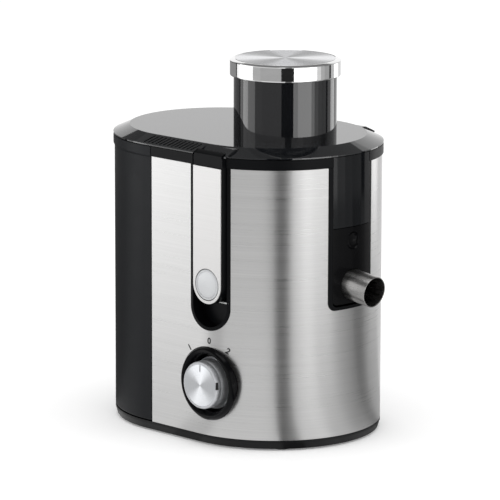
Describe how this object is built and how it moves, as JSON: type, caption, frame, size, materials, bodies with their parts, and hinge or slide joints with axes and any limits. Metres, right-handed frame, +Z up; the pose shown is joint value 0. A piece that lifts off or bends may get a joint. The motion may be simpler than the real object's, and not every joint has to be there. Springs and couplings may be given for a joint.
{
  "type": "centrifugal juicer",
  "caption": "Upright centrifugal juicer: steel-wrapped motor housing, round feed tube with pusher, clip-down lid, lift-out sieve basket and bowl, side pulp container.",
  "frame": {"origin": "centre of the bounding box's bottom face, where the feet meet the table", "axes": "+X along the footprint's long axis towards the juice spout, -Y towards the control knob, +Z up"},
  "size_m": [0.267, 0.1898, 0.3115],
  "materials": {
    "steel_wrap": "horizontal brushed satin",
    "housing_shell": "moulded, satin",
    "base_tray": "moulded, fine grain",
    "rim_band": "semi-gloss moulded",
    "slot_frame": "semi-gloss moulded",
    "latch_frame": "semi-gloss moulded",
    "latch_arm": "semi-gloss moulded",
    "latch_insert": "satin steel sheet",
    "latch_button": "silver-grey satin",
    "knob_bezel": "gloss moulded",
    "control_knob": "circular brushed",
    "switch_shaft": "natural moulded",
    "smoked_clear": "smoked transparent, polished",
    "spout_plate": "gloss moulded",
    "spout_tube": "polished drawn steel",
    "pusher_cap": "polished band, circular brushed top",
    "pusher_body": "gloss moulded",
    "pulp_container": "moulded, satin",
    "basket_plastic": "moulded",
    "grating_disc": "stamped steel",
    "sieve_cone": "perforated steel sheet",
    "silicone": "matt silicone",
    "rubber": "matt rubber",
    "iron_stack": "laminated stack",
    "copper": "bare copper",
    "zinc_steel": "zinc plated",
    "nylon": "natural moulded",
    "switch_plastic": "moulded"
  },
  "bodies": {
    "housing": {"base_tray": "base_tray", "foot_1": "rubber", "foot_2": "rubber", "foot_3": "rubber", "foot_4": "rubber", "base_screw_1": "zinc_steel", "base_screw_2": "zinc_steel", "base_screw_3": "zinc_steel", "base_screw_4": "zinc_steel", "housing_shell": "housing_shell", "steel_wrap": "steel_wrap", "rim_band": "rim_band", "cord_gland": "rubber", "slot_frame": "slot_frame", "latch_frame_front": "latch_frame", "latch_frame_back": "latch_frame", "latch_pin_front": "zinc_steel", "latch_pin_back": "zinc_steel", "knob_bezel": "knob_bezel", "rotary_switch": "switch_plastic", "safety_switch": "switch_plastic", "motor_stator": "iron_stack", "field_coil_front": "copper", "field_coil_back": "copper", "bearing_lower": "zinc_steel", "bearing_upper": "zinc_steel", "bracket_lower": "zinc_steel", "bracket_upper": "zinc_steel", "brush_front": "copper", "brush_back": "copper", "motor_mount_1": "rubber", "motor_mount_2": "rubber", "motor_mount_3": "rubber", "motor_mount_4": "rubber", "deck_seal": "silicone"},
    "rotor": {"motor_rotor": "iron_stack", "commutator": "copper", "motor_shaft": "zinc_steel", "motor_fan": "nylon", "drive_coupling": "nylon"},
    "bowl": {"juice_bowl": "smoked_clear"},
    "spout": {"spout_plate": "spout_plate", "spout_tube": "spout_tube"},
    "basket": {"basket_hub": "basket_plastic", "grating_disc": "grating_disc", "sieve_cone": "sieve_cone", "basket_rim": "basket_plastic"},
    "lid": {"lid_cover": "smoked_clear", "lid_seal": "silicone"},
    "pusher": {"pusher_body": "pusher_body", "pusher_cap": "pusher_cap"},
    "latch_front": {"latch_arm_front": "latch_arm", "latch_insert_front": "latch_insert"},
    "button_front": {"latch_button_front": "latch_button"},
    "latch_back": {"latch_arm_back": "latch_arm", "latch_insert_back": "latch_insert"},
    "button_back": {"latch_button_back": "latch_button"},
    "knob": {"control_knob": "control_knob", "switch_shaft": "switch_shaft"},
    "container": {"pulp_container": "pulp_container"}
  },
  "joints": [
    {"name": "lid_lift", "type": "slide", "parent": "housing", "child": "lid", "axis": [0, 0, 1], "range_m": [0, 0.12]},
    {"name": "pusher_lift", "type": "slide", "parent": "lid", "child": "pusher", "axis": [0, 0, 1], "range_m": [0, 0.13]},
    {"name": "latch_front_swing", "type": "hinge", "parent": "housing", "child": "latch_front", "pos_m": [0.03046, -0.079, 0.1212], "axis": [1, 0, 0], "range_deg": [0, 42]},
    {"name": "latch_back_swing", "type": "hinge", "parent": "housing", "child": "latch_back", "pos_m": [0.03046, 0.0862, 0.1212], "axis": [-1, 0, 0], "range_deg": [0, 42]},
    {"name": "button_front_press", "type": "slide", "parent": "latch_front", "child": "button_front", "axis": [0, 1, 0], "range_m": [0, 0.0025], "stiffness_N_per_m": 400},
    {"name": "button_back_press", "type": "slide", "parent": "latch_back", "child": "button_back", "axis": [0, -1, 0], "range_m": [0, 0.0025], "stiffness_N_per_m": 400},
    {"name": "knob_turn", "type": "hinge", "parent": "housing", "child": "knob", "pos_m": [0.03046, -0.0849, 0.0524], "axis": [0, -1, 0], "range_deg": [-38, 38]},
    {"name": "bowl_lift", "type": "slide", "parent": "housing", "child": "bowl", "axis": [0, 0, 1], "range_m": [0, 0.06]},
    {"name": "spout_pull", "type": "slide", "parent": "bowl", "child": "spout", "axis": [0.9914, 0, -0.1305], "range_m": [0, 0.03]},
    {"name": "rotor_spin", "type": "hinge", "parent": "housing", "child": "rotor", "pos_m": [0.03046, 0.0036, 0.06], "axis": [0, 0, 1], "continuous": true},
    {"name": "basket_spin", "type": "hinge", "parent": "bowl", "child": "basket", "pos_m": [0.03046, 0.0036, 0.14], "axis": [0, 0, 1], "continuous": true},
    {"name": "container_slide", "type": "slide", "parent": "housing", "child": "container", "axis": [-1, 0, 0], "range_m": [0, 0.12]}
  ],
  "couplings": [
    {"joint": "latch_front_swing", "follows": "lid_lift", "rad_per_m": 6},
    {"joint": "latch_back_swing", "follows": "lid_lift", "rad_per_m": 6},
    {"joint": "bowl_lift", "follows": "lid_lift", "ratio": 0.5},
    {"joint": "basket_spin", "follows": "rotor_spin", "ratio": 1}
  ]
}
